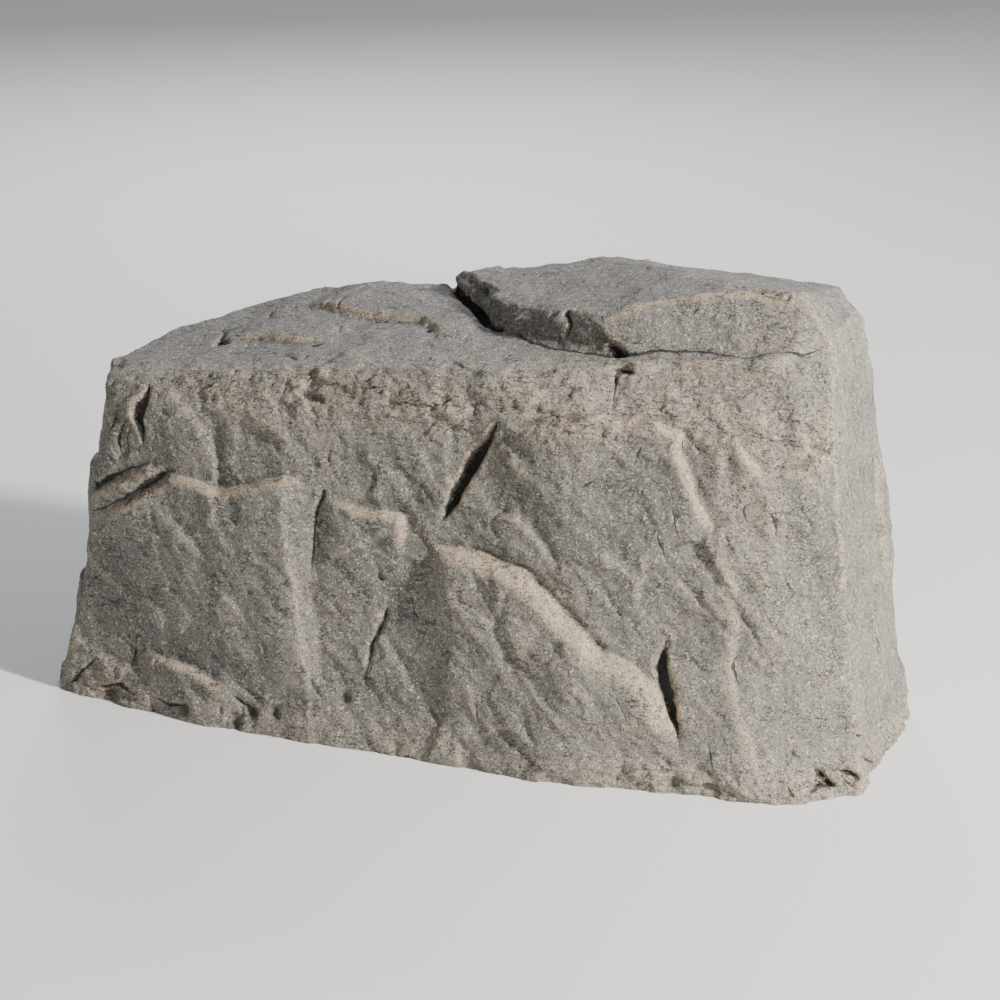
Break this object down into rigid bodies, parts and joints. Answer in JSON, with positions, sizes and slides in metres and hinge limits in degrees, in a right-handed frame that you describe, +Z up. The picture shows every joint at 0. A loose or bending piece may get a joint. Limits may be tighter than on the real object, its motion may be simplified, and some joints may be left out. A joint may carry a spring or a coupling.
{
  "type": "artificial rock cover",
  "caption": "Hollow moulded boulder, open underneath, that stands over pond equipment, with a rear notch for hoses and steel stakes that pin it to the ground.",
  "frame": {"origin": "middle of the base on the ground", "axes": "+X along the rock towards its tall end, -Y towards the broad front face, +Z up"},
  "size_m": [1.112, 0.4721, 0.5998],
  "materials": {
    "cast_stone": "rough sanded resin, matt",
    "trim_rubber": "matt",
    "batten_plastic": "matt recycled plastic",
    "rib_laminate": "rough glass-fibre laminate",
    "galvanised": "hot-dip galvanised, dull",
    "screw_steel": "stainless",
    "bush_nylon": "natural nylon",
    "stake_steel": "galvanised rod, weathered"
  },
  "bodies": {
    "cover": {"rock_shell": "cast_stone", "notch_trim": "trim_rubber", "batten_front": "batten_plastic", "batten_right": "batten_plastic", "batten_rear_right": "batten_plastic", "batten_rear_left": "batten_plastic", "batten_left": "batten_plastic", "rib_left": "rib_laminate", "rib_middle": "rib_laminate", "rib_right": "rib_laminate", "anchor_bracket_left": "galvanised", "anchor_bracket_right": "galvanised", "bracket_screws_left": "screw_steel", "bracket_screws_right": "screw_steel"},
    "bush_left": {"stake_bush_left": "bush_nylon"},
    "bush_right": {"stake_bush_right": "bush_nylon"},
    "stake_left": {"ground_stake_left": "stake_steel"},
    "stake_right": {"ground_stake_right": "stake_steel"}
  },
  "joints": [
    {"name": "stake_turn_left", "type": "hinge", "parent": "cover", "child": "bush_left", "pos_m": [-0.185, 0.126, 0.046], "axis": [0, 0, 1], "range_deg": [-180, 180]},
    {"name": "stake_drive_left", "type": "slide", "parent": "bush_left", "child": "stake_left", "axis": [0, 0, 1], "range_m": [-0.23, 0.03]},
    {"name": "stake_turn_right", "type": "hinge", "parent": "cover", "child": "bush_right", "pos_m": [0.185, 0.126, 0.046], "axis": [0, 0, 1], "range_deg": [-180, 180]},
    {"name": "stake_drive_right", "type": "slide", "parent": "bush_right", "child": "stake_right", "axis": [0, 0, 1], "range_m": [-0.23, 0.03]}
  ]
}
